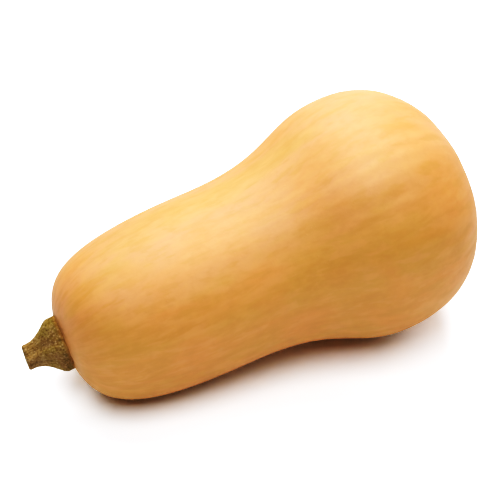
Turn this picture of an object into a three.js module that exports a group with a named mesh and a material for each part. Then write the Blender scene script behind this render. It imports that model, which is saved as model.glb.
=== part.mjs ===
// A butternut squash lying on its side: one grown fruit and its dry, five-ridged stem.
// Millimetres, +Z up. The fruit's own axis runs along +X, from the stem seat to the blossom end,
// and the neck lies lower than the bulb because it is the thinner end.
import * as THREE from "three";

// Fruit outline: stations along the axis and the radius there
const FRUIT_LENGTH = 205.4;
const NECK_STATION = 77;
const NECK_RADIUS = 42.8;
const BULB_STATION = 156.8;
const BULB_RADIUS = 60;

// Fullness: how far the outline's curve handles reach from each of its turning points
const STEM_END_FULLNESS = 27.8;
const NECK_FULLNESS_TO_STEM = 72.3;
const NECK_FULLNESS_TO_BULB = 48.1;
const BULB_FULLNESS_TO_NECK = 31;
const BULB_FULLNESS_TO_BLOSSOM = 32.7;
const BLOSSOM_END_FULLNESS = 35.8;

// Blossom scar: a low corky button, sunk a little into the middle of the blossom end
const SCAR_RADIUS = 4.2;
const SCAR_CROWN_RADIUS = 3;
const SCAR_HEIGHT = 0.9;
const SCAR_SINK = 0.3;

// Stem seat: the flat spot of the stem end that the stem grows out of
const SEAT_DEPTH = 0.7;

// Relief: shallow ribs from end to end, a slow swell, and a slight sideways bend of the axis
const RIB_COUNT = 10;
const RIB_HEIGHT = 0.3;
const RIB_NECK_SHARE = 0.4;
const RIB_WANDER = 0.5;
const SWELL_LOBES = 3;
const SWELL_HEIGHT = 0.35;
const SWELL_LENGTH = 120;
const AXIS_BEND = 1.5;

// Ground spots: how deep the underside is flattened where it lies, and how softly that fades out
const GROUND_SPOT_DEPTH = 1;
const GROUND_SPOT_FADE = 0.5;

// Resting tilt: the steepest lie that is looked for, and how closely the angle is found
const STEEPEST_TILT = THREE.MathUtils.degToRad(30);
const TILT_PRECISION = 1e-9;

// Stem outline: its flared lip at the seat, the taper, and the cut end
const STEM_LENGTH = 19.1;
const STEM_GAP = 0.3;
const LIP_RADIUS = 12.6;
const LIP_EDGE_RADIUS = 11.5;
const LIP_HEIGHT = 3.1;
const TAPER_LIP_HANDLE = 6.2;
const TAPER_WAIST_RADIUS = 5.1;
const TAPER_WAIST_HEIGHT = 9.8;
const CUT_RADIUS = 5.8;
const CUT_BEVEL = 0.5;

// Stem shape: ridges, the place of the first one, and where its middle line runs
const RIDGE_COUNT = 5;
const RIDGE_SHARE = 0.08;
const RIDGE_START = THREE.MathUtils.degToRad(5);
const STEM_RISE = 2.4;
const STEM_DROOP = 0.5;

// Facets: round the fruit and the stem, and along each stretch of an outline
const FRUIT_SIDES = 80;
const FRUIT_STEPS = 14;
const STEM_SIDES = 60;
const STEM_STEPS = 6;

const RIND = { color: 0xe5a552, roughness: 0.45, metalness: 0 };
const STEM_BARK = { color: 0x6f5526, roughness: 0.9, metalness: 0 };

// Half of the fruit's outline, as (radius, station): stem end, neck, bulb, blossom end, scar
function fruitOutline() {
  const scarBase = FRUIT_LENGTH - SCAR_SINK;
  const path = new THREE.Path().moveTo(0, 0);
  path.bezierCurveTo(
    STEM_END_FULLNESS, 0,
    NECK_RADIUS, NECK_STATION - NECK_FULLNESS_TO_STEM,
    NECK_RADIUS, NECK_STATION,
  );
  path.bezierCurveTo(
    NECK_RADIUS, NECK_STATION + NECK_FULLNESS_TO_BULB,
    BULB_RADIUS, BULB_STATION - BULB_FULLNESS_TO_NECK,
    BULB_RADIUS, BULB_STATION,
  );
  path.bezierCurveTo(
    BULB_RADIUS, BULB_STATION + BULB_FULLNESS_TO_BLOSSOM,
    BLOSSOM_END_FULLNESS, scarBase,
    SCAR_RADIUS, scarBase,
  );
  path.lineTo(SCAR_CROWN_RADIUS, scarBase + SCAR_HEIGHT);
  path.lineTo(0, scarBase + SCAR_HEIGHT);
  return path.getPoints(FRUIT_STEPS);
}

// Half of the stem's outline, as (radius, height above its base): base, lip, taper, cut end
function stemOutline() {
  const path = new THREE.Path().moveTo(0, 0).lineTo(LIP_EDGE_RADIUS, 0);
  path.quadraticCurveTo(LIP_RADIUS, 0, LIP_RADIUS, LIP_HEIGHT);
  path.bezierCurveTo(
    LIP_RADIUS, TAPER_LIP_HANDLE,
    TAPER_WAIST_RADIUS, TAPER_WAIST_HEIGHT,
    CUT_RADIUS, STEM_LENGTH - CUT_BEVEL,
  );
  path.lineTo(CUT_RADIUS - CUT_BEVEL, STEM_LENGTH);
  path.lineTo(0, STEM_LENGTH);
  return path.getPoints(STEM_STEPS);
}

// Moves every vertex of a geometry by a function that changes the vector it is given
function reshape(geometry, move) {
  const position = geometry.getAttribute("position");
  const point = new THREE.Vector3();
  for (let i = 0; i < position.count; i += 1) {
    move(point.fromBufferAttribute(position, i));
    position.setXYZ(i, point.x, point.y, point.z);
  }
  geometry.computeVertexNormals();
  return geometry;
}

// Sideways place of the fruit's axis at a station: a shallow bow, even about a straight line
function axisOffset(station) {
  const along = (2 * station) / FRUIT_LENGTH - 1;
  return AXIS_BEND * (along * along - 1 / 3);
}

// Height of the ribs and the swell at a station and an angle, as a share of the bulb's radius
function relief(station, angle) {
  const towardsBulb = THREE.MathUtils.smoothstep(station, 0, BULB_STATION);
  const ribHeight = RIB_HEIGHT * THREE.MathUtils.lerp(RIB_NECK_SHARE, 1, towardsBulb);
  const rib = Math.cos(RIB_COUNT * angle + RIB_WANDER * Math.sin(2 * angle));
  const swell = Math.cos(SWELL_LOBES * angle + (2 * Math.PI * station) / SWELL_LENGTH);
  return (ribHeight * rib + SWELL_HEIGHT * swell) / BULB_RADIUS;
}

function makeFruit() {
  const geometry = new THREE.LatheGeometry(fruitOutline(), FRUIT_SIDES).rotateZ(-Math.PI / 2);
  return reshape(geometry, (point) => {
    const scale = 1 + relief(point.x, Math.atan2(point.y, point.z));
    point.y = point.y * scale + axisOffset(point.x);
    point.z *= scale;
    point.x = Math.max(point.x, SEAT_DEPTH);
  });
}

function makeStem() {
  const geometry = new THREE.LatheGeometry(stemOutline(), STEM_SIDES).rotateZ(Math.PI / 2);
  return reshape(geometry, (point) => {
    const height = -point.x;
    const angle = Math.atan2(point.y, point.z) - RIDGE_START;
    const scale = 1 + RIDGE_SHARE * Math.cos(RIDGE_COUNT * angle);
    const droop = STEM_RISE - STEM_DROOP * (height / STEM_LENGTH) ** 2;
    point.set(SEAT_DEPTH - STEM_GAP - height, point.y * scale + axisOffset(0), point.z * scale + droop);
  });
}

// Lowest point of a stretch of the outline when the axis is raised by an angle at the blossom end
function lowestPoint(outline, tilt) {
  return Math.min(...outline.map((p) => p.y * Math.sin(tilt) - p.x * Math.cos(tilt)));
}

// The angle at which the neck and the bulb touch the ground together, found by halving
function restingTilt() {
  const outline = fruitOutline();
  const neck = outline.filter((p) => p.y <= NECK_STATION);
  const bulb = outline.filter((p) => p.y > NECK_STATION);
  let low = 0;
  let high = STEEPEST_TILT;
  while (high - low > TILT_PRECISION) {
    const half = (low + high) / 2;
    if (lowestPoint(bulb, half) < lowestPoint(neck, half)) low = half;
    else high = half;
  }
  return low;
}

// Height of a flattened underside: level below the ground, then a soft bend up to the free surface
function groundHeight(height) {
  if (height <= 0) return 0;
  if (height >= 2 * GROUND_SPOT_FADE) return height - GROUND_SPOT_FADE;
  return height ** 2 / (4 * GROUND_SPOT_FADE);
}

const tilt = restingTilt();
const ground = lowestPoint(fruitOutline(), tilt) + GROUND_SPOT_DEPTH;
const fruit = makeFruit().rotateY(-tilt).translate(0, 0, -ground);
reshape(fruit, (point) => point.setZ(groundHeight(point.z)));
const stem = makeStem().rotateY(-tilt).translate(0, 0, -ground - GROUND_SPOT_FADE);

// The part stands on the origin: the middle of its box, at ground level
const squash = new THREE.Group();
const solids = { fruit: [fruit, RIND], stem: [stem, STEM_BARK] };
for (const [name, [geometry, finish]] of Object.entries(solids)) {
  const mesh = new THREE.Mesh(geometry, new THREE.MeshStandardMaterial(finish));
  mesh.name = name;
  squash.add(mesh);
}
const middle = new THREE.Box3().setFromObject(squash).getCenter(new THREE.Vector3());
squash.position.set(-middle.x, -middle.y, 0);

export default squash;
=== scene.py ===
# %% [markdown]
# # A butternut squash, lying on its side
#
# The real thing is one grown fruit, with a thick neck and a round bulb, and a short dry stem. The packed
# solids already have its size, its lie and its ridges. This lesson dresses them: a fine skin grown over the
# fruit, bark grown over the stem, the two finishes, and last the floor, the light and the camera.
# Everything is in metres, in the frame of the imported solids: +Z up, the fruit along X, the stem at -X.

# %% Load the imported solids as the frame
import math

import bpy
import numpy as np
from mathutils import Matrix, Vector
from mathutils import noise as fractal


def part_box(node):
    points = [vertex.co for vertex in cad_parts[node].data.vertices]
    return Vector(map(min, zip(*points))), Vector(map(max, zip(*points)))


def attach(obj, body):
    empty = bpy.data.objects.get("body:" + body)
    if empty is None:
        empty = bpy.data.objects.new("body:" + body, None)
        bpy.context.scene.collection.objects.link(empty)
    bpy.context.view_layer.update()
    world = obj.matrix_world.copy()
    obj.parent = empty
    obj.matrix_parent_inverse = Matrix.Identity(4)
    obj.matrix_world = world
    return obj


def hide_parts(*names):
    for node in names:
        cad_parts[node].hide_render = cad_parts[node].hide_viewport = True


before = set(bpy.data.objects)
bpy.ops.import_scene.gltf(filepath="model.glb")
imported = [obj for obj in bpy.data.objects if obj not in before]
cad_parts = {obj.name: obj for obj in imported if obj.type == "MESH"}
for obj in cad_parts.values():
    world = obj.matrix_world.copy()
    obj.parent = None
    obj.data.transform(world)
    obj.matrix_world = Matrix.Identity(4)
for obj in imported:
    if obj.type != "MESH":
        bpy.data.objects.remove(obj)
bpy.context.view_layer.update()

print("solids:", ", ".join(sorted(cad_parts)))

# %% [markdown]
# ## The outline of the fruit
#
# Cut lengthwise, half of a butternut squash is one smooth line: out over the stem end, along the neck, in a
# hollow up to the bulb, and round to the blossom end. It could be drawn by hand as a curve object, but three
# cubic curves that share their tangents say it with a few sizes, and a formula can be sampled as finely as
# the skin needs. The line ends in the blossom scar, a low corky button.

# %% The outline as stations along the axis and radii
FRUIT_LENGTH = 0.2054
NECK_STATION = 0.077
NECK_RADIUS = 0.0428
BULB_STATION = 0.1568
BULB_RADIUS = 0.060
STEM_END_FULLNESS = 0.0278
NECK_FULLNESS_TO_STEM = 0.0723
NECK_FULLNESS_TO_BULB = 0.0481
BULB_FULLNESS_TO_NECK = 0.031
BULB_FULLNESS_TO_BLOSSOM = 0.0327
BLOSSOM_END_FULLNESS = 0.0358
SCAR_RADIUS = 0.0042
SCAR_CROWN_RADIUS = 0.003
SCAR_HEIGHT = 0.0009
SCAR_SINK = 0.0003
CURVE_STEPS = 400


def curve_points(start, start_handle, end_handle, end):
    """Points on a cubic curve, close together, as rows of station and radius."""
    t = np.linspace(0, 1, CURVE_STEPS)[:, None]
    corners = np.array([start, start_handle, end_handle, end])
    shares = np.hstack([(1 - t) ** 3, 3 * t * (1 - t) ** 2, 3 * t**2 * (1 - t), t**3])
    return shares @ corners


def straight_points(start, end):
    """Points on a straight stretch, close together."""
    t = np.linspace(0, 1, CURVE_STEPS)[:, None]
    return np.array(start) * (1 - t) + np.array(end) * t


def fruit_outline():
    """The fruit's outline from the stem end's middle to the middle of the blossom scar."""
    scar_base = FRUIT_LENGTH - SCAR_SINK
    scar_top = scar_base + SCAR_HEIGHT
    neck = (NECK_STATION, NECK_RADIUS)
    bulb = (BULB_STATION, BULB_RADIUS)
    return np.vstack([
        curve_points((0, 0), (0, STEM_END_FULLNESS),
                     (NECK_STATION - NECK_FULLNESS_TO_STEM, NECK_RADIUS), neck),
        curve_points(neck, (NECK_STATION + NECK_FULLNESS_TO_BULB, NECK_RADIUS),
                     (BULB_STATION - BULB_FULLNESS_TO_NECK, BULB_RADIUS), bulb),
        curve_points(bulb, (BULB_STATION + BULB_FULLNESS_TO_BLOSSOM, BULB_RADIUS),
                     (scar_base, BLOSSOM_END_FULLNESS), (scar_base, SCAR_RADIUS)),
        straight_points((scar_base, SCAR_RADIUS), (scar_top, SCAR_CROWN_RADIUS)),
        straight_points((scar_top, SCAR_CROWN_RADIUS), (scar_top, 0)),
    ])


def length_along(line):
    """How far along a line each of its points lies."""
    steps = np.linalg.norm(np.diff(line, axis=0), axis=1)
    return np.concatenate([[0], np.cumsum(steps)])


def points_at(line, places):
    """The points of a line at the given lengths along it."""
    reach = length_along(line)
    return np.stack([np.interp(places, reach, line[:, column]) for column in range(line.shape[1])], axis=1)


outline = fruit_outline()
outline_length = length_along(outline)[-1]
print(f"outline: {outline_length * 1000:.1f} mm from the stem end to the blossom scar")

# %% [markdown]
# ## The form: ribs, a slow swell and a bow
#
# No squash is a turned vase. Low ribs run from end to end, the flanks swell slowly, and the axis bows a
# little to one side. Sculpting would give that too, but waves of the angle round the axis repeat exactly on
# each run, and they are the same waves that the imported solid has.

# %% Ribs, swell and bow
RIB_COUNT = 10
RIB_HEIGHT = 0.0003
RIB_NECK_SHARE = 0.4
RIB_WANDER = 0.5
SWELL_LOBES = 3
SWELL_HEIGHT = 0.00035
SWELL_LENGTH = 0.120
AXIS_BEND = 0.0015
SEAT_DEPTH = 0.0007


def soft_step(value, low, high):
    """0 below low, 1 above high, and a smooth rise between."""
    t = np.clip((value - low) / (high - low), 0, 1)
    return t * t * (3 - 2 * t)


def axis_offset(station):
    """Sideways place of the fruit's axis at a station."""
    along = 2 * station / FRUIT_LENGTH - 1
    return AXIS_BEND * (along**2 - 1 / 3)


def form_relief(station, angle):
    """Height of the ribs and the swell, as a share of the bulb's radius."""
    rib_height = RIB_HEIGHT * (RIB_NECK_SHARE + (1 - RIB_NECK_SHARE) * soft_step(station, 0, BULB_STATION))
    rib = np.cos(RIB_COUNT * angle + RIB_WANDER * np.sin(2 * angle))
    swell = np.cos(SWELL_LOBES * angle + 2 * np.pi * station / SWELL_LENGTH)
    return (rib_height * rib + SWELL_HEIGHT * swell) / BULB_RADIUS


print(f"ribs: {RIB_COUNT}, up to {RIB_HEIGHT * 1000:.2f} mm high; bow: {AXIS_BEND * 1000:.1f} mm")

# %% [markdown]
# ## The skin's own fine relief
#
# Close up the rind has shallow lengthwise furrows, a few soft dents from lying against other fruit, low
# swellings that run out from the stem's ridges, and a rough, cracked blossom scar. A bump map alone would
# leave the mesh as smooth as wax, so these go into the mesh. Waves with seeded places make the furrows:
# they close up round the fruit with no seam, and each run draws the same ones.

# %% Furrows, dents, stem-end folds and the rough scar
FURROW_COUNTS = range(13, 64, 3)
FURROW_DEPTH = 0.00007
FURROW_DRIFT = 0.8
FURROW_NECK_SHARE = 0.3
FURROW_SEED = 3
DENT_COUNT = 14
DENT_DEPTH = 0.00022
DENT_RADIUS = 0.011
DENT_STATIONS = (0.1, 0.95)
DENT_SIZES = (0.6, 1.5)
DENT_SHARES = (0.4, 1)
DENT_SEED = 7
RIDGE_COUNT = 5
RIDGE_START = math.radians(5)
FOLD_HEIGHT = 0.00045
FOLD_REACH = 0.009
FOOT_RADIUS = 0.0126
STEM_RISE = 0.0024
SCAR_ROUGHNESS = 0.00018
SCAR_WAVES = range(3, 16)
SCAR_DRIFT = 2.0
SCAR_SEED = 5


def lengthwise_waves(angle, along, counts, drift, seed):
    """Waves round the axis with seeded places, each drifting a little along the piece; about -1 to 1."""
    draw = np.random.default_rng(seed)
    total = np.zeros(np.broadcast(angle, along).shape)
    for count in counts:
        place, turn = draw.uniform(0, 2 * np.pi), draw.normal(0, drift)
        total += np.cos(count * angle + place + 2 * np.pi * turn * along)
    return total / math.sqrt(len(counts))


def dents(station, angle):
    """Soft dents at seeded places on the fruit, as a depth from 0 to 1."""
    draw = np.random.default_rng(DENT_SEED)
    depth = np.zeros(station.shape)
    for _ in range(DENT_COUNT):
        place, turn = draw.uniform(*DENT_STATIONS) * FRUIT_LENGTH, draw.uniform(-np.pi, np.pi)
        size, share = DENT_RADIUS * draw.uniform(*DENT_SIZES), draw.uniform(*DENT_SHARES)
        sideways = NECK_RADIUS * np.angle(np.exp(1j * (angle - turn)))
        depth += share * np.exp(-((station - place) ** 2 + sideways**2) / size**2)
    return np.clip(depth, 0, 1)


def around_foot(station, radius, angle):
    """Distance and angle of the skin's points, seen from the middle of the stem's foot."""
    across, up = radius * np.sin(angle), radius * np.cos(angle) - STEM_RISE
    return np.sqrt(across**2 + up**2 + station**2), np.arctan2(across, up)


def grow_fruit(station, radius, angle, fine):
    """Places of the fruit's skin in its own frame: X along the axis, the angle from straight up to +Y."""
    scale = 1 + form_relief(station, angle)
    lift = 0
    if fine:
        body = soft_step(radius, SCAR_RADIUS, 3 * SCAR_RADIUS)
        towards_bulb = soft_step(station, NECK_STATION, BULB_STATION)
        depth = FURROW_DEPTH * body * (FURROW_NECK_SHARE + (1 - FURROW_NECK_SHARE) * towards_bulb)
        along = station / FRUIT_LENGTH
        lift = depth * lengthwise_waves(angle, along, FURROW_COUNTS, FURROW_DRIFT, FURROW_SEED)
        lift = lift - DENT_DEPTH * dents(station, angle) * body
    reach = radius * scale + lift
    x = np.maximum(station, SEAT_DEPTH)
    if fine:
        from_foot, turn = around_foot(station, radius, angle)
        near_foot = np.exp(-((from_foot - FOOT_RADIUS) / FOLD_REACH) ** 2)
        x = x - FOLD_HEIGHT * near_foot * (0.5 + 0.5 * np.cos(RIDGE_COUNT * (turn - RIDGE_START)))
        on_scar = (1 - soft_step(radius, 0.8 * SCAR_RADIUS, 1.15 * SCAR_RADIUS)) * (station > BULB_STATION)
        crumbs = lengthwise_waves(angle, radius / SCAR_RADIUS, SCAR_WAVES, SCAR_DRIFT, SCAR_SEED)
        x = x + SCAR_ROUGHNESS * on_scar * crumbs * np.clip(radius / SCAR_RADIUS, 0, 1)
    return np.stack([x, reach * np.sin(angle) + axis_offset(station), reach * np.cos(angle)], axis=-1)


print(f"fine relief: {len(FURROW_COUNTS)} furrow waves, {DENT_COUNT} dents")

# %% [markdown]
# ## How it lies
#
# On its side, a squash touches the ground with its neck and its bulb together, so its axis is raised towards
# the bulb. Tipping a finished mesh by eye would leave it hanging or sunk. Here the angle is found by halving
# until the two lowest points are level, and the underside is pressed flat where it lies, as on the solid.

# %% The resting tilt, the ground spots and the place in the frame
GROUND_SPOT_DEPTH = 0.001
GROUND_SPOT_FADE = 0.0005
STEEPEST_TILT = math.radians(30)
TILT_PRECISION = 1e-9


def lowest_point(line, angle):
    """Lowest point of a stretch of the outline when the axis is raised by an angle."""
    return np.min(line[:, 0] * math.sin(angle) - line[:, 1] * math.cos(angle))


def resting_tilt(line):
    """The angle at which the neck and the bulb touch the ground together."""
    neck, bulb = line[line[:, 0] <= NECK_STATION], line[line[:, 0] > NECK_STATION]
    low, high = 0.0, STEEPEST_TILT
    while high - low > TILT_PRECISION:
        half = (low + high) / 2
        if lowest_point(bulb, half) < lowest_point(neck, half):
            low = half
        else:
            high = half
    return low


def lay_down(points):
    """Tips points of the fruit's own frame to its lie, with the free surface's height above the ground."""
    x, y, z = np.moveaxis(points, -1, 0)
    raised = x * math.sin(tilt) + z * math.cos(tilt) - ground
    return np.stack([x * math.cos(tilt) - z * math.sin(tilt), y, raised], axis=-1)


def press_flat(points):
    """Flattens what lies below the ground, with a soft bend up to the free surface."""
    height = points[..., 2]
    bend = np.clip(height, 0, 2 * GROUND_SPOT_FADE) ** 2 / (4 * GROUND_SPOT_FADE)
    points[..., 2] = np.where(height < 2 * GROUND_SPOT_FADE, bend, height - GROUND_SPOT_FADE)
    return points


tilt = resting_tilt(outline)
ground = lowest_point(outline, tilt) + GROUND_SPOT_DEPTH
print(f"resting tilt: {math.degrees(tilt):.2f} degrees")

# %% [markdown]
# ## The fruit's skin as a mesh
#
# A sphere or a spin of a profile would give a skin too, but only a grid of rings lets every ring follow the
# formula and every vertex carry its place on the skin. The rings stand closer at both ends, where the folds
# and the scar are. Two attributes go along for the finish: `skin`, which winds round the fruit with no seam
# and draws together at both ends so that no streaks crowd there, and `ends`, the distances from the middle of
# the stem's foot and from the middle of the scar.

# %% A closed skin from a grid of rings
FRUIT_SIDES = 320
END_STRETCH = 0.016
END_RINGS = 26
END_CALM = 0.030
BODY_RINGS = 150


def closed_skin(name, grid):
    """A closed mesh from rings of points. The first and the last ring are one point each."""
    rings, sides, _ = grid.shape
    points = np.vstack([grid[0, :1], grid[1:-1].reshape(-1, 3), grid[-1, :1]])
    first = 1 + sides * np.arange(rings - 2)
    around = np.arange(sides)
    after = (around + 1) % sides
    last = len(points) - 1
    faces = [(0, 1 + a, 1 + b) for a, b in zip(around, after)]
    for low, high in zip(first[:-1], first[1:]):
        faces += [(low + a, high + a, high + b, low + b) for a, b in zip(around, after)]
    faces += [(first[-1] + a, last, first[-1] + b) for a, b in zip(around, after)]
    mesh = bpy.data.meshes.new(name)
    mesh.from_pydata(points.tolist(), [], [tuple(int(v) for v in face) for face in faces])
    mesh.shade_smooth()
    piece = bpy.data.objects.new(name, mesh)
    bpy.context.scene.collection.objects.link(piece)
    return piece


def carry(piece, name, grid):
    """Gives every vertex of a closed skin its own value of a three-part attribute."""
    values = np.vstack([grid[0, :1], grid[1:-1].reshape(-1, 3), grid[-1, :1]])
    attribute = piece.data.attributes.new(name, "FLOAT_VECTOR", "POINT")
    attribute.data.foreach_set("vector", values.astype(np.float32).ravel())


def ring_places():
    """Lengths along the outline at which the rings of the fruit's skin stand."""
    near_stem = np.linspace(0, END_STRETCH, END_RINGS, endpoint=False)
    body = np.linspace(END_STRETCH, outline_length - END_STRETCH, BODY_RINGS, endpoint=False)
    near_scar = np.linspace(outline_length - END_STRETCH, outline_length, END_RINGS)
    return np.concatenate([near_stem, body, near_scar])


places = ring_places()
station, radius = (column[:, None] for column in points_at(outline, places).T)
angle = np.linspace(0, 2 * np.pi, FRUIT_SIDES, endpoint=False)[None, :]
station, radius, angle = np.broadcast_arrays(station, radius, angle)

plain = press_flat(lay_down(grow_fruit(station, radius, angle, fine=False))).reshape(-1, 3)
packed_low, packed_high = (np.array(corner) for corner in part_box("fruit"))
shift = (packed_low + packed_high - plain.min(0) - plain.max(0)) / 2
shift[2] = 0
print("the packed fruit stands at", [round(part, 5) for part in shift])

fine_skin = press_flat(lay_down(grow_fruit(station, radius, angle, fine=True)))
fruit_skin = closed_skin("fruit_skin", fine_skin + shift)
spread = np.sin(np.pi / 2 * np.clip(radius / END_CALM, 0, 1))
skin_places = [spread * np.cos(angle), spread * np.sin(angle), station / FRUIT_LENGTH]
carry(fruit_skin, "skin", np.stack(skin_places, axis=-1))
from_foot, _ = around_foot(station, radius, angle)
from_scar = np.broadcast_to(outline_length - places[:, None], station.shape)
carry(fruit_skin, "ends", np.stack([from_foot, from_scar, radius], axis=-1))
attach(fruit_skin, "root")
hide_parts("fruit")
print("fruit skin:", len(fruit_skin.data.polygons), "faces")

# %% [markdown]
# ## The stem
#
# The stem dried to hard cork: five ridges flare into a bell-shaped foot, fine fibres run lengthwise, warts
# sit on the bark, and the cut end is a rough, slightly hollow face round a pith. It could be extruded from a
# star, but a grid of rings again lets ridges, fibres and warts add up on one closed skin. Its foot is sunk a
# little into the fruit, so that the two look grown together.

# %% The stem's outline and its bark
STEM_LENGTH = 0.0191
FOOT_EDGE_RADIUS = 0.0127
FOOT_HEIGHT = 0.0031
FOOT_SINK = 0.0012
TAPER_FOOT_HANDLE = 0.0062
TAPER_WAIST_RADIUS = 0.0051
TAPER_WAIST_HEIGHT = 0.0098
CUT_RADIUS = 0.0058
CUT_BEVEL = 0.0009
CUT_SLANT = 0.0011
CUT_HOLLOW = 0.0007
PITH_RADIUS = 0.0014
PITH_DEPTH = 0.0011
RIDGE_SHARE = 0.08
STEM_DROOP = 0.0005
STEM_GAP = 0.0003
FIBRE_COUNTS = range(17, 60, 2)
FIBRE_HEIGHT = 0.00007
FOOT_WAVES = range(6, 22)
FOOT_WAVE_HEIGHT = 0.00022
LUMP_SIZE = 0.0011
LUMP_HEIGHT = 0.00016
WART_COUNT = 170
WART_RADIUS = 0.00055
WART_HEIGHT = 0.00022
WART_HEIGHTS = (0.03, 0.97)
WART_SIZES = (0.6, 1.4)
WART_SHARES = (0.3, 1)
WART_TURN_RADIUS = 0.009
WART_SEED = 11
RIDGE_CREST = 0.25
RIDGE_LEVEL = 0.1
FIBRE_DRIFT = 0.35
FIBRE_SEED = 13
FOOT_WAVE_DRIFT = 0.5
FOOT_WAVE_SEED = 19
TORN_WAVES = range(5, 40, 2)
TORN_HEIGHT = 0.00012
TORN_DRIFT = 3.0
TORN_SEED = 17
STEM_SIDES = 240
STEM_RINGS = 96
CUT_RINGS = 30


def stem_outline():
    """The stem's outline as rows of height and radius, from the foot's middle to the rim of the cut end."""
    rim = STEM_LENGTH - CUT_BEVEL
    return np.vstack([
        straight_points((-FOOT_SINK, 0), (-FOOT_SINK, FOOT_EDGE_RADIUS)),
        curve_points((-FOOT_SINK, FOOT_EDGE_RADIUS), (-FOOT_SINK, FOOT_RADIUS),
                     (FOOT_HEIGHT / 2, FOOT_RADIUS), (FOOT_HEIGHT, FOOT_RADIUS)),
        curve_points((FOOT_HEIGHT, FOOT_RADIUS), (TAPER_FOOT_HANDLE, FOOT_RADIUS),
                     (TAPER_WAIST_HEIGHT, TAPER_WAIST_RADIUS), (rim, CUT_RADIUS)),
        curve_points((rim, CUT_RADIUS), (STEM_LENGTH - CUT_BEVEL / 2, CUT_RADIUS),
                     (STEM_LENGTH, CUT_RADIUS - CUT_BEVEL / 2), (STEM_LENGTH, CUT_RADIUS - CUT_BEVEL)),
    ])


def lumps(points, size):
    """Small rounded lumps all over, about -1 to 1; the same points always get the same lumps."""
    flat = [fractal.noise(Vector(point) / size) for point in points.reshape(-1, 3)]
    return np.array(flat).reshape(points.shape[:-1])


def warts(height, angle):
    """Corky warts at seeded places on the bark, from 0 to 1."""
    draw = np.random.default_rng(WART_SEED)
    total = np.zeros(height.shape)
    for _ in range(WART_COUNT):
        place, turn = draw.uniform(*WART_HEIGHTS) * STEM_LENGTH, draw.uniform(-np.pi, np.pi)
        size, share = WART_RADIUS * draw.uniform(*WART_SIZES), draw.uniform(*WART_SHARES)
        sideways = WART_TURN_RADIUS * np.angle(np.exp(1j * (angle - turn)))
        total = np.maximum(total, share * np.exp(-((height - place) ** 2 + sideways**2) / size**2))
    return total


def cut_face(radius, angle):
    """Height of the cut end at a radius: hollow, with a pith hole and torn fibres."""
    share = radius / (CUT_RADIUS - CUT_BEVEL)
    hollow = CUT_HOLLOW * (1 - share**2)
    pith = PITH_DEPTH * (1 - soft_step(radius, 0.6 * PITH_RADIUS, 1.2 * PITH_RADIUS))
    torn = TORN_HEIGHT * share * lengthwise_waves(angle, share, TORN_WAVES, TORN_DRIFT, TORN_SEED)
    return STEM_LENGTH - hollow - pith + torn


def grow_stem(height, radius, angle, wart):
    """Places of the stem's bark in the fruit's own frame."""
    along = np.clip(height / STEM_LENGTH, 0, 1)
    turn = angle - RIDGE_START
    ridge = np.cos(RIDGE_COUNT * turn) + RIDGE_CREST * np.cos(2 * RIDGE_COUNT * turn) - RIDGE_LEVEL
    scale = 1 + RIDGE_SHARE * ridge
    across, up = radius * scale * np.sin(angle), radius * scale * np.cos(angle)
    lump = lumps(np.stack([height, across, up], axis=-1), LUMP_SIZE)
    fibre = lengthwise_waves(angle, along, FIBRE_COUNTS, FIBRE_DRIFT, FIBRE_SEED)
    frayed = lengthwise_waves(angle, along, FOOT_WAVES, FOOT_WAVE_DRIFT, FOOT_WAVE_SEED)
    frayed = frayed * (1 - soft_step(along, 0.1, 0.5))
    rough = FIBRE_HEIGHT * fibre + FOOT_WAVE_HEIGHT * frayed + LUMP_HEIGHT * lump + WART_HEIGHT * wart
    rough = rough * np.clip(radius / CUT_RADIUS, 0, 1)
    slant = CUT_SLANT * soft_step(along, 0.4, 1.0) * np.clip(0.5 + up / (2 * CUT_RADIUS), 0, 1)
    x = SEAT_DEPTH - STEM_GAP - height + slant
    y = across + rough * np.sin(angle) + axis_offset(0)
    z = up + rough * np.cos(angle) + STEM_RISE - STEM_DROOP * along**2
    return np.stack([x, y, z], axis=-1)


side = stem_outline()
side_places = np.linspace(0, length_along(side)[-1], STEM_RINGS)
height, stem_radius = (column[:, None] for column in points_at(side, side_places).T)
turn = np.linspace(0, 2 * np.pi, STEM_SIDES, endpoint=False)[None, :]
height, stem_radius, stem_angle = np.broadcast_arrays(height, stem_radius, turn)
wart = warts(height, stem_angle) * (height > 0)
bark = grow_stem(height, stem_radius, stem_angle, wart)

cut_radius = np.linspace(CUT_RADIUS - CUT_BEVEL, 0, CUT_RINGS + 1)[1:, None]
cut_radius, cut_angle = np.broadcast_arrays(cut_radius, turn)
cut = grow_stem(cut_face(cut_radius, cut_angle), cut_radius, cut_angle, np.zeros(cut_radius.shape))


def stand_with_fruit(points):
    """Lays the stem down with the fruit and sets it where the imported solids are."""
    return lay_down(points) - [0, 0, GROUND_SPOT_FADE] + shift


stem_skin = closed_skin("stem_skin", stand_with_fruit(np.vstack([bark, cut])))
ridge_height = np.cos(RIDGE_COUNT * (np.vstack([stem_angle, cut_angle]) - RIDGE_START))
bark_height = np.vstack([height, np.full(cut_radius.shape, STEM_LENGTH)]) / STEM_LENGTH
wart_height = np.vstack([wart, np.zeros(cut_radius.shape)])
carry(stem_skin, "bark", np.stack([ridge_height, bark_height, wart_height], axis=-1))
all_angles = np.vstack([stem_angle, cut_angle])
carry(stem_skin, "skin", np.stack([np.cos(all_angles), np.sin(all_angles), bark_height], axis=-1))
face_radius = np.vstack([np.full(height.shape, CUT_RADIUS), cut_radius]) / CUT_RADIUS
carry(stem_skin, "cut", np.stack([face_radius, face_radius, face_radius], axis=-1))
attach(stem_skin, "root")
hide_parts("stem")
print("stem:", len(stem_skin.data.polygons), "faces,", WART_COUNT, "warts")

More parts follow.
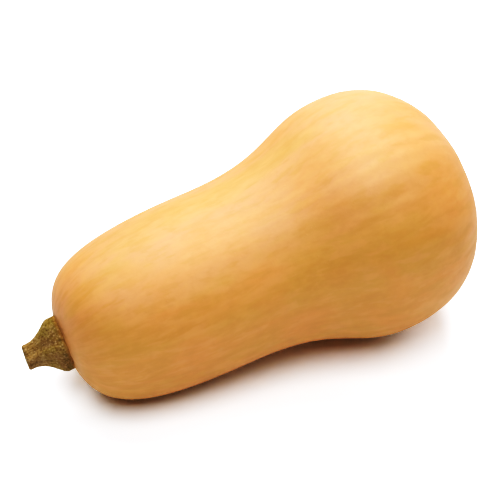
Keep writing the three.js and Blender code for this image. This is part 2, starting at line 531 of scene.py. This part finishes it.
# %% [markdown]
# ## Small helpers for finishes
#
# A finish in Blender is a tree of nodes. Written out, each node takes four or five lines, and the tree is
# lost among them. These helpers add one node, fill or link its inputs, and hand back the output that the
# next node needs, so that a finish reads from top to bottom.

# %% Helpers that add one node or two
MIDDLE = 0.5


def add(tree, kind, inputs=None, **settings):
    """Adds a node with its settings, and fills or links its inputs by name or place."""
    made = tree.nodes.new(kind)
    for name, value in settings.items():
        setattr(made, name, value)
    for key, value in (inputs or {}).items():
        if isinstance(value, bpy.types.NodeSocket):
            tree.links.new(value, made.inputs[key])
        else:
            made.inputs[key].default_value = value
    return made


def calc(tree, operation, *values):
    """One sum, product or other calculation."""
    return add(tree, "ShaderNodeMath", dict(enumerate(values)), operation=operation).outputs[0]


def rise(tree, value, low, high, start=0.0, end=1.0):
    """A smooth step from start at low to end at high."""
    inputs = {"Value": value, "From Min": low, "From Max": high, "To Min": start, "To Max": end}
    return add(tree, "ShaderNodeMapRange", inputs, interpolation_type="SMOOTHSTEP").outputs["Result"]


def tint(tree, share, first, second):
    """Goes from the first colour to the second by a share."""
    inputs = {0: share, 6: first, 7: second}
    return add(tree, "ShaderNodeMix", inputs, data_type="RGBA").outputs[2]


def noise(tree, place, scale, detail=2.0, rough=0.5):
    """A cloudy value from 0 to 1."""
    inputs = {"Vector": place, "Scale": scale, "Detail": detail, "Roughness": rough}
    return add(tree, "ShaderNodeTexNoise", inputs).outputs["Fac"]


def zone(tree, value, start, full, share):
    """A share that grows from none, where a value is at start, to its whole, where it is at full."""
    return rise(tree, value, start, full, 0.0, share)


def both_ways(tree, value, reach, paint, above, below):
    """Tints one way where a value is over its middle and another way under it; each way: share, colour."""
    paint = tint(tree, zone(tree, value, MIDDLE, MIDDLE + reach, above[0]), paint, above[1])
    return tint(tree, zone(tree, value, MIDDLE, MIDDLE - reach, below[0]), paint, below[1])


def vector(tree, operation, inputs):
    """One sum, product or stretch of whole vectors."""
    return add(tree, "ShaderNodeVectorMath", inputs, operation=operation).outputs[0]


def moved(tree, place, far):
    """A place moved along the third axis, so that a cloudy pattern starts somewhere else."""
    return vector(tree, "ADD", {0: place, 1: (0, 0, far)})


def colour(red, green, blue):
    """A colour as the shader's sockets take it."""
    return (red, green, blue, 1.0)


print("helpers: add, calc, rise, tint, noise, zone, both_ways, vector, moved, colour")

# %% [markdown]
# ## Two effects that both finishes use
#
# Rind and bark are both streaked lengthwise, because both grew along the vine's veins, and both carry small
# specks: pores in the rind, cork in the bark. Each effect is a node group, made once and placed in each
# finish with its own values. The streaks are clouds drawn out along the piece: they read the seamless
# `skin` attribute, so no join shows. The specks are the cells of a Voronoi pattern, most of them left out.

# %% The lengthwise streaks and the specks as node groups
DRIFT_SCALE = 3.5
DRIFT_DETAIL = 2.0
STREAK_ROUGHNESS = 0.6
SPECK_EDGE = 0.4


def start_group(name, inputs, output):
    """A new node group with value or vector inputs and one value output."""
    group = bpy.data.node_groups.new(name, "ShaderNodeTree")
    for label, kind in inputs.items():
        group.interface.new_socket(label, in_out="INPUT", socket_type=kind)
    group.interface.new_socket(output, in_out="OUTPUT", socket_type="NodeSocketFloat")
    return group, add(group, "NodeGroupInput").outputs


def streak_group():
    """Clouds drawn out along the piece; Round and Along say how many there are each way."""
    group, given = start_group("lengthwise streaks", {
        "Skin": "NodeSocketVector", "Round": "NodeSocketFloat", "Along": "NodeSocketFloat",
        "Detail": "NodeSocketFloat", "Wander": "NodeSocketFloat",
        "Low": "NodeSocketFloat", "High": "NodeSocketFloat",
    }, "Streak")
    slow = {"Vector": given["Skin"], "Scale": DRIFT_SCALE, "Detail": DRIFT_DETAIL}
    drift = add(group, "ShaderNodeTexNoise", slow).outputs["Color"]
    drift = vector(group, "SUBTRACT", {0: drift, 1: (MIDDLE, MIDDLE, MIDDLE)})
    drift = vector(group, "SCALE", {0: drift, "Scale": given["Wander"]})
    place = vector(group, "ADD", {0: given["Skin"], 1: drift})
    stretch = add(group, "ShaderNodeCombineXYZ", {0: given["Round"], 1: given["Round"], 2: given["Along"]})
    place = vector(group, "MULTIPLY", {0: place, 1: stretch.outputs[0]})
    cloud = noise(group, place, 1.0, given["Detail"], STREAK_ROUGHNESS)
    add(group, "NodeGroupOutput", {"Streak": rise(group, cloud, given["Low"], given["High"])})
    return group


def speck_group():
    """Small round specks; Count is per metre, Share is how many cells have one, Size is a share of a cell."""
    group, given = start_group("specks", {
        "Place": "NodeSocketVector", "Count": "NodeSocketFloat", "Share": "NodeSocketFloat",
        "Size": "NodeSocketFloat",
    }, "Speck")
    cells = add(group, "ShaderNodeTexVoronoi", {"Vector": given["Place"], "Scale": given["Count"]})
    chance = add(group, "ShaderNodeSeparateColor", {0: cells.outputs["Color"]}).outputs["Red"]
    chosen = calc(group, "LESS_THAN", chance, given["Share"])
    edge = calc(group, "MULTIPLY", given["Size"], SPECK_EDGE)
    spot = rise(group, cells.outputs["Distance"], given["Size"], edge)
    add(group, "NodeGroupOutput", {"Speck": calc(group, "MULTIPLY", spot, chosen)})
    return group


streaks, specks = streak_group(), speck_group()


def streak(tree, skin, count_round, along, detail, wander, low, high):
    """Places the streak group in a finish."""
    inputs = {"Skin": skin, "Round": count_round, "Along": along, "Detail": detail, "Wander": wander}
    inputs.update({"Low": low, "High": high})
    return add(tree, "ShaderNodeGroup", inputs, node_tree=streaks).outputs["Streak"]


def speck(tree, place, count, share, size):
    """Places the speck group in a finish."""
    inputs = {"Place": place, "Count": count, "Share": share, "Size": size}
    return add(tree, "ShaderNodeGroup", inputs, node_tree=specks).outputs["Speck"]


def start_finish(name):
    """A new material: its tree, its shader and the piece's own place in metres."""
    material = bpy.data.materials.new(name)
    material.use_nodes = True
    tree = material.node_tree
    return material, tree, tree.nodes["Principled BSDF"], add(tree, "ShaderNodeTexCoord").outputs["Object"]


def read(tree, name):
    """The three parts of an attribute, and the attribute as one vector."""
    whole = add(tree, "ShaderNodeAttribute", attribute_name=name).outputs["Vector"]
    parts = add(tree, "ShaderNodeSeparateXYZ", {0: whole})
    return [*parts.outputs, whole]


print("node groups:", streaks.name, "and", specks.name)

# %% [markdown]
# ## The rind
#
# A ripe butternut's rind is a waxy tan orange. Broad streaks of deeper ochre and paler peach run from end to
# end, finer mottling lies over them, blotches of rose and olive tint them, and pores show as fine specks.
# The crown is tinted paler as a painted sheen, the flank a deeper ochre as painted shade, and the underside
# greener as painted bounce light from the white floor; the blossom end is rosier. Round the stem's foot the
# rind is painted darker brown at the join as painted shade in the crease, and the scar is brown cork. One
# painted image would fix all that for one size only, so the patterns are clouds that follow the skin.

# %% The rind's colours
RIND_OCHRE_AND_FLANK_SHADE = colour(0.585, 0.281, 0.060)
RIND_PEACH = colour(0.655, 0.328, 0.097)
RIND_ROSE = colour(0.660, 0.290, 0.083)
RIND_OLIVE = colour(0.565, 0.308, 0.068)
RIND_PALE_AND_CROWN_SHEEN = colour(0.655, 0.304, 0.158)
RIND_LIGHT = colour(0.700, 0.345, 0.100)
RIND_DEEP = colour(0.540, 0.262, 0.066)
MOTTLE_PALE = colour(0.680, 0.335, 0.125)
MOTTLE_DEEP = colour(0.560, 0.270, 0.058)
RIND_BOUNCE_LIGHT = colour(0.600, 0.325, 0.080)
RIND_BLOSSOM = colour(0.715, 0.322, 0.118)
JOIN_SHADE_AND_SCAR_BROWN = colour(0.470, 0.215, 0.040)
SCAR_BROWN = colour(0.240, 0.150, 0.080)
FLECK_BROWN = colour(0.440, 0.200, 0.055)
print("rind: twelve tints of tan orange, and browns for the scar and the flecks")

# %% The rind's patterns and where they lie
CLOUD_PLACE = 28.9
STREAK_PLACE = 209.3
CLOUD = {"count_round": 1.7, "along": 2.6, "detail": 3.0, "wander": 0.1, "low": 0.32, "high": 0.68}
BROAD = {"count_round": 5.0, "along": 2.4, "detail": 3.0, "wander": 0.15, "low": 0.30, "high": 0.70}
MOTTLE = {"count_round": 10.0, "along": 16.0, "detail": 2.0, "wander": 0.08, "low": 0.28, "high": 0.72}
HAIRLINE = {"count_round": 26.0, "along": 40.0, "detail": 2.0, "wander": 0.05, "low": 0.30, "high": 0.75}
BLOTCH = {"scale": 34.0, "detail": 3.0, "rough": 0.55}
FRECKLE = {"scale": 230.0, "detail": 2.0, "rough": 0.60}
STREAK_REACH = 0.5
NOISE_REACH = 0.22
CLOUD_TINTS = ((0.7, RIND_ROSE), (0.6, RIND_OLIVE))
MOTTLE_TINTS = ((0.5, MOTTLE_PALE), (0.5, MOTTLE_DEEP))
BLOTCH_TINTS = ((0.45, RIND_ROSE), (0.35, RIND_OLIVE))
FRECKLE_TINTS = ((0.2, RIND_LIGHT), (0.2, RIND_DEEP))
PORE = {"count": 420.0, "share": 0.35, "size": 0.22}
FLECK = {"count": 95.0, "share": 0.07, "size": 0.07}
HAIRLINE_SHARE = 0.05
PORE_SHARE = 0.10
FLECK_SHARE = 0.30
FLANK_SHADE = {"start": 0.35, "full": -0.05, "share": 0.5}
UNDERSIDE_BOUNCE_LIGHT = {"start": 0.0, "full": -0.4, "share": 0.7}
CROWN_SHEEN = {"start": 0.3, "full": 1.0, "share": 0.6}
BLOSSOM_END = {"start": 0.72, "full": 0.92, "share": 0.5}
STEM_RING = {"start": 0.024, "full": 0.016, "share": 0.10}
STEM_JOIN_SHADE = {"start": 0.0170, "full": 0.0130, "share": 0.6}
SCAR_RING = {"start": 0.016, "full": 0.006, "share": 0.4}
SCAR = {"start": 0.0064, "full": 0.0044, "share": 1.0}
RING_WANDER = 0.003
SCAR_WANDER = 0.6
SCAR_GRAIN = 900.0
RIND_ROUGHNESS = 0.54
RIND_ROUGHNESS_SWING = 0.06
SCAR_EXTRA_ROUGHNESS = 0.3
RIND_GRAIN = {"scale": 700.0, "detail": 3.0}
HAIRLINE_HEIGHT = 0.5
PORE_HEIGHT = 0.8
RIND_BUMP = {"Strength": 0.10, "Distance": 0.0003}
RIND_IOR = 1.48
RIND_SPECULAR = 0.85


def rind_paint(tree, place, cloud, broad, mottle, blotch):
    """The rind's colour all over, painted shade, bounce light and sheen by facing included, before pores,
    flecks and the two ends.
    """
    up, _, along, _ = read(tree, "skin")
    freckle = noise(tree, place, **FRECKLE)
    paint = tint(tree, broad, RIND_OCHRE_AND_FLANK_SHADE, RIND_PEACH)
    # painted shade: the flank, turned away from the light above, is tinted a deeper ochre
    paint = tint(tree, zone(tree, up, **FLANK_SHADE), paint, RIND_OCHRE_AND_FLANK_SHADE)
    # painted bounce light: the underside, lit from the white floor, is tinted greener
    paint = tint(tree, zone(tree, up, **UNDERSIDE_BOUNCE_LIGHT), paint, RIND_BOUNCE_LIGHT)
    # painted sheen: the crown, which faces the soft light above, is tinted paler
    paint = tint(tree, zone(tree, up, **CROWN_SHEEN), paint, RIND_PALE_AND_CROWN_SHEEN)
    paint = tint(tree, zone(tree, along, **BLOSSOM_END), paint, RIND_BLOSSOM)
    paint = both_ways(tree, cloud, STREAK_REACH, paint, *CLOUD_TINTS)
    paint = both_ways(tree, mottle, STREAK_REACH, paint, *MOTTLE_TINTS)
    paint = both_ways(tree, blotch, NOISE_REACH, paint, *BLOTCH_TINTS)
    return both_ways(tree, freckle, NOISE_REACH, paint, *FRECKLE_TINTS)


def rind_finish():
    """Waxy tan-orange rind with lengthwise streaks, pores, painted shade at the stem's join and a corky scar.
    """
    material, tree, shader, place = start_finish("waxy_rind")
    skin = read(tree, "skin")[3]
    from_stem, from_scar, _, _ = read(tree, "ends")
    cloud = streak(tree, moved(tree, skin, CLOUD_PLACE), **CLOUD)
    broad = streak(tree, moved(tree, skin, STREAK_PLACE), **BROAD)
    mottle = streak(tree, skin, **MOTTLE)
    hairline = streak(tree, skin, **HAIRLINE)
    blotch = noise(tree, place, **BLOTCH)
    paint = rind_paint(tree, place, cloud, broad, mottle, blotch)
    paint = tint(tree, calc(tree, "MULTIPLY", hairline, HAIRLINE_SHARE), paint, RIND_PALE_AND_CROWN_SHEEN)
    pore = speck(tree, place, **PORE)
    paint = tint(tree, calc(tree, "MULTIPLY", pore, PORE_SHARE), paint, RIND_PALE_AND_CROWN_SHEEN)
    fleck = speck(tree, place, **FLECK)
    paint = tint(tree, calc(tree, "MULTIPLY", fleck, FLECK_SHARE), paint, FLECK_BROWN)
    wander = calc(tree, "MULTIPLY", calc(tree, "SUBTRACT", mottle, MIDDLE), RING_WANDER)
    near_stem = calc(tree, "ADD", from_stem, wander)
    paint = tint(tree, zone(tree, near_stem, **STEM_RING), paint, RIND_PALE_AND_CROWN_SHEEN)
    # painted shade: the rind darkens to brown in the crease where it meets the stem's foot
    paint = tint(tree, zone(tree, near_stem, **STEM_JOIN_SHADE), paint, JOIN_SHADE_AND_SCAR_BROWN)
    near_scar = calc(tree, "ADD", from_scar, calc(tree, "MULTIPLY", wander, SCAR_WANDER))
    paint = tint(tree, zone(tree, near_scar, **SCAR_RING), paint, RIND_PALE_AND_CROWN_SHEEN)
    scar = zone(tree, near_scar, **SCAR)
    paint = tint(tree, scar, paint, tint(tree, noise(tree, place, SCAR_GRAIN), SCAR_BROWN, JOIN_SHADE_AND_SCAR_BROWN))
    tree.links.new(paint, shader.inputs["Base Color"])
    gloss = calc(tree, "ADD", RIND_ROUGHNESS, calc(tree, "MULTIPLY", broad, RIND_ROUGHNESS_SWING))
    gloss = calc(tree, "ADD", gloss, calc(tree, "MULTIPLY", blotch, RIND_ROUGHNESS_SWING))
    gloss = calc(tree, "ADD", gloss, calc(tree, "MULTIPLY", scar, SCAR_EXTRA_ROUGHNESS))
    tree.links.new(gloss, shader.inputs["Roughness"])
    grain = calc(tree, "MULTIPLY", hairline, HAIRLINE_HEIGHT)
    grain = calc(tree, "ADD", grain, noise(tree, place, **RIND_GRAIN))
    grain = calc(tree, "ADD", grain, calc(tree, "MULTIPLY", pore, PORE_HEIGHT))
    bump = add(tree, "ShaderNodeBump", {**RIND_BUMP, "Height": grain})
    tree.links.new(bump.outputs["Normal"], shader.inputs["Normal"])
    shader.inputs["IOR"].default_value = RIND_IOR
    shader.inputs["Specular IOR Level"].default_value = RIND_SPECULAR
    return material


fruit_skin.data.materials.append(rind_finish())
print("finish:", fruit_skin.data.materials[0].name)

# %% [markdown]
# ## The bark of the stem and its cut end
#
# The dry stem is olive brown: greener and darker at the foot, browner towards the cut, darker in the grooves
# as painted shade, pale in patches and on the corky warts, and darkened to brown at the foot's edge as
# painted shade where it meets the rind. The cut end shows paler fibres in rings round a brown pith. Both are
# one finish, because the bark turns into the cut face over a ragged rim, and the attributes say where a point
# lies between them.

# %% The bark's colours
BARK_BROWN = colour(0.280, 0.170, 0.060)
BARK_OLIVE = colour(0.262, 0.190, 0.030)
BARK_GREEN = colour(0.160, 0.122, 0.010)
BARK_DARK_AND_GROOVE_SHADE = colour(0.150, 0.085, 0.010)
BARK_PALE = colour(0.440, 0.315, 0.160)
CORK_PALE = colour(0.520, 0.390, 0.235)
CUT_TAN = colour(0.400, 0.290, 0.140)
CUT_BROWN = colour(0.180, 0.115, 0.045)
print("bark: six tints of olive brown, two of the cut face")

# %% The bark's patterns and where they lie
FIBRE = {"count_round": 7.0, "along": 3.5, "detail": 4.0, "wander": 0.2, "low": 0.32, "high": 0.70}
PATCH = {"scale": 120.0, "detail": 3.0, "rough": 0.6}
GRAIN = {"scale": 1000.0, "detail": 4.0, "rough": 0.7}
CORK = {"count": 800.0, "share": 0.30, "size": 0.45}
OLIVE_PATCH = {"start": 0.40, "full": 0.60, "share": 1.0}
BROWN_END = {"start": 0.40, "full": 0.70, "share": 0.8}
GREEN_FOOT = {"start": 0.30, "full": 0.05, "share": 0.75}
PALE_PATCH = {"start": 0.52, "full": 0.70, "share": 0.5}
GROOVE_SHADE = {"start": -0.2, "full": -0.95, "share": 0.4}
DARK_GRAIN = {"start": 0.52, "full": 0.34, "share": 0.85}
PALE_GRAIN = {"start": 0.52, "full": 0.70, "share": 0.75}
PALE_WART = {"start": 0.35, "full": 0.9, "share": 0.35}
FOOT_JOIN_SHADE = {"start": 0.10, "full": 0.0, "share": 0.35}
FIBRE_SHARE = 0.30
CORK_SHARE = 0.45
RING_WAVER = 0.25
RING_PACE = 34.0
RING_BROWN = {"start": -0.8, "full": 1.0, "share": 0.6}
PITH_BROWN = {"start": 0.30, "full": 0.20, "share": 1.0}
CUT_FACE = {"start": 0.985, "full": 0.90, "share": 1.0}
BARK_ROUGHNESS = 0.72
BARK_ROUGHNESS_SWING = 0.25
FIBRE_BUMP_SHARE = 0.4
CORK_BUMP_SHARE = 0.6
BARK_BUMP = {"Strength": 0.6, "Distance": 0.0004}
BARK_SPECULAR = 0.25


def bark_finish():
    """Dry olive-brown bark, mottled with cork, with painted shade in the grooves and at the foot's join, and
    a fibrous cut end.
    """
    material, tree, shader, place = start_finish("dry_bark")
    skin = read(tree, "skin")[3]
    ridge, along, wart, _ = read(tree, "bark")
    face_radius = read(tree, "cut")[0]
    fibre = streak(tree, skin, **FIBRE)
    patch = noise(tree, place, **PATCH)
    grain = noise(tree, place, **GRAIN)
    paint = tint(tree, zone(tree, patch, **OLIVE_PATCH), BARK_BROWN, BARK_OLIVE)
    paint = tint(tree, zone(tree, along, **BROWN_END), paint, BARK_BROWN)
    paint = tint(tree, zone(tree, along, **GREEN_FOOT), paint, BARK_GREEN)
    paint = tint(tree, calc(tree, "MULTIPLY", fibre, FIBRE_SHARE), paint, BARK_PALE)
    paint = tint(tree, zone(tree, patch, **PALE_PATCH), paint, BARK_PALE)
    # painted shade: the bark is darkened in the grooves between the ridges
    paint = tint(tree, zone(tree, ridge, **GROOVE_SHADE), paint, BARK_DARK_AND_GROOVE_SHADE)
    paint = tint(tree, zone(tree, grain, **DARK_GRAIN), paint, BARK_DARK_AND_GROOVE_SHADE)
    paint = tint(tree, zone(tree, grain, **PALE_GRAIN), paint, BARK_PALE)
    cork = speck(tree, place, **CORK)
    paint = tint(tree, calc(tree, "MULTIPLY", cork, CORK_SHARE), paint, CORK_PALE)
    paint = tint(tree, zone(tree, wart, **PALE_WART), paint, CORK_PALE)
    # painted shade: the stem's foot darkens to brown in the crease where it meets the rind
    paint = tint(tree, zone(tree, along, **FOOT_JOIN_SHADE), paint, JOIN_SHADE_AND_SCAR_BROWN)
    wavy = calc(tree, "ADD", face_radius, calc(tree, "MULTIPLY", grain, RING_WAVER))
    rings = calc(tree, "SINE", calc(tree, "MULTIPLY", wavy, RING_PACE))
    wood = tint(tree, zone(tree, rings, **RING_BROWN), CUT_TAN, CUT_BROWN)
    wood = tint(tree, zone(tree, face_radius, **PITH_BROWN), wood, CUT_BROWN)
    paint = tint(tree, zone(tree, face_radius, **CUT_FACE), paint, wood)
    tree.links.new(paint, shader.inputs["Base Color"])
    gloss = calc(tree, "ADD", BARK_ROUGHNESS, calc(tree, "MULTIPLY", grain, BARK_ROUGHNESS_SWING))
    tree.links.new(gloss, shader.inputs["Roughness"])
    height = calc(tree, "ADD", calc(tree, "MULTIPLY", fibre, FIBRE_BUMP_SHARE), grain)
    height = calc(tree, "ADD", height, calc(tree, "MULTIPLY", cork, CORK_BUMP_SHARE))
    bump = add(tree, "ShaderNodeBump", {**BARK_BUMP, "Height": height})
    tree.links.new(bump.outputs["Normal"], shader.inputs["Normal"])
    shader.inputs["Specular IOR Level"].default_value = BARK_SPECULAR
    return material


stem_skin.data.materials.append(bark_finish())
print("finish:", stem_skin.data.materials[0].name)

# %% [markdown]
# ## The floor
#
# The fruit lies on a plain white table top. An endless plane would run out of the lamps' reach and turn grey
# towards the horizon, so the top is a round board that ends inside the light. Studios put extra light on the
# table until it prints as pure white. A lamp for that would shine up on the fruit too, so the board itself
# is brighter for the camera's rays than for the light that bounces off it, and a trace bluer, because the
# fruit's own light tints its shadow.

# %% A plain pale floor
FLOOR_RADIUS = 0.8
FLOOR_DROP = 0.0001
FLOOR_SIDES = 96
FLOOR_WHITE = colour(0.90, 0.90, 0.90)
FLOOR_SEEN = colour(1.34, 1.42, 1.52)


def make_floor():
    """A round white board just below the lowest point of the fruit."""
    turns = np.linspace(0, 2 * np.pi, FLOOR_SIDES, endpoint=False)
    rim = [(FLOOR_RADIUS * math.cos(t), FLOOR_RADIUS * math.sin(t), -FLOOR_DROP) for t in turns]
    mesh = bpy.data.meshes.new("floor")
    mesh.from_pydata(rim, [], [tuple(range(FLOOR_SIDES))])
    floor = bpy.data.objects.new("floor", mesh)
    bpy.context.scene.collection.objects.link(floor)
    material = bpy.data.materials.new("floor_white")
    material.use_nodes = True
    tree = material.node_tree
    tree.nodes.remove(tree.nodes["Principled BSDF"])
    seen = add(tree, "ShaderNodeLightPath").outputs["Is Camera Ray"]
    matt = add(tree, "ShaderNodeBsdfDiffuse", {"Color": tint(tree, seen, FLOOR_WHITE, FLOOR_SEEN)})
    tree.links.new(matt.outputs["BSDF"], tree.nodes["Material Output"].inputs["Surface"])
    mesh.materials.append(material)


make_floor()
print(f"floor: {2 * FLOOR_RADIUS:.1f} m across")

# %% [markdown]
# ## The light
#
# The photograph has soft light from above in white surroundings: the skin's brightness hardly depends on
# anything but how far it faces up, and the shadow is tight and warm. A sun lamp would draw a hard edge, and
# an even sky would fill the shadow. Six soft square lamps give the fall from the crown to the flanks: two
# high ones in front and behind do most of it, and four weak ones brighten the back and the blossom end. The
# white surroundings are seen by the camera only, so that they add no light of their own.

# %% Soft lamps and white surroundings
LAMP_DISTANCE = 1.1
LAMP_SIDE = 0.65
LAMPS = {
    "front_high": {"azimuth": -25, "elevation": 68, "power": 7.25},
    "back_high": {"azimuth": 155, "elevation": 68, "power": 9.7},
    "blossom_end": {"azimuth": 65, "elevation": 43, "power": 1.75},
    "back": {"azimuth": 200, "elevation": 43, "power": 3.2},
    "blossom_end_low": {"azimuth": 110, "elevation": 17, "power": 2.2},
    "back_low": {"azimuth": 155, "elevation": 17, "power": 2.2},
}


def towards(azimuth, elevation):
    """The direction from the object to a viewer or a lamp. Azimuth 0 is at -Y, and 90 at +X."""
    a, e = math.radians(azimuth), math.radians(elevation)
    return Vector((math.sin(a) * math.cos(e), -math.cos(a) * math.cos(e), math.sin(e)))


def make_lamp(name, azimuth, elevation, power):
    """A square soft lamp that faces the fruit."""
    lamp = bpy.data.lights.new(name, "AREA")
    lamp.size = LAMP_SIDE
    lamp.energy = power
    holder = bpy.data.objects.new(name, lamp)
    holder.location = towards(azimuth, elevation) * LAMP_DISTANCE
    holder.rotation_euler = (-holder.location).to_track_quat("-Z", "Y").to_euler()
    holder.visible_camera = False
    bpy.context.scene.collection.objects.link(holder)


def make_surroundings():
    """White surroundings that light nothing."""
    room = bpy.data.worlds.new("white_room")
    room.use_nodes = True
    tree = room.node_tree
    sky = tree.nodes["Background"].inputs
    sky["Color"].default_value = colour(1, 1, 1)
    tree.links.new(add(tree, "ShaderNodeLightPath").outputs["Is Camera Ray"], sky["Strength"])
    bpy.context.scene.world = room


make_surroundings()
for lamp_name, values in LAMPS.items():
    make_lamp(lamp_name, **values)
print("lamps:", ", ".join(LAMPS))

# %% [markdown]
# ## The camera
#
# The photograph looks down at the fruit from its stem end's side. The camera stands at that angle and
# distance, with a lens that sees as wide, and looks at one point near the fruit's middle.

# %% The camera
CAMERA_AZIMUTH = -25.078
CAMERA_ELEVATION = 38.0
CAMERA_DISTANCE = 0.47762
CAMERA_TARGET = Vector((0.002631, 0.003264, 0.053186))
FIELD_OF_VIEW = math.radians(28)

camera = bpy.data.objects.new("camera", bpy.data.cameras.new("camera"))
camera.data.angle = FIELD_OF_VIEW
camera.data.clip_start = 0.01
view_line = towards(CAMERA_AZIMUTH, CAMERA_ELEVATION)
camera.location = CAMERA_TARGET + view_line * CAMERA_DISTANCE
camera.rotation_euler = (-view_line).to_track_quat("-Z", "Y").to_euler()
bpy.context.scene.collection.objects.link(camera)
bpy.context.scene.camera = camera
print("camera at", [round(part, 4) for part in camera.location])

# %% [markdown]
# ## The picture's tones
#
# A photograph for a catalogue is printed with more contrast than the light has: shadows sink, and the
# brightest parts roll off softly into white. Stronger lamps would only burn out the crown, so the contrast is
# put into the picture's tone curve, point by point from one formula.

# %% A tone curve with deeper shadows and a soft shoulder
TONE_STEPS = (0.1, 0.2, 0.3, 0.4, 0.5, 0.6, 0.7, 0.8, 0.9)
TONE_BEND = 0.3


def printed_tone(light):
    """How bright a given light is printed, both from 0 to 1."""
    return light**2 * (1 + TONE_BEND) / (light**2 + TONE_BEND)


picture = bpy.context.scene.view_settings
picture.view_transform = "Standard"
picture.use_curve_mapping = True
for light in TONE_STEPS:
    picture.curve_mapping.curves[3].points.new(light, printed_tone(light))
picture.curve_mapping.update()
print("tones:", [round(printed_tone(light), 2) for light in TONE_STEPS])
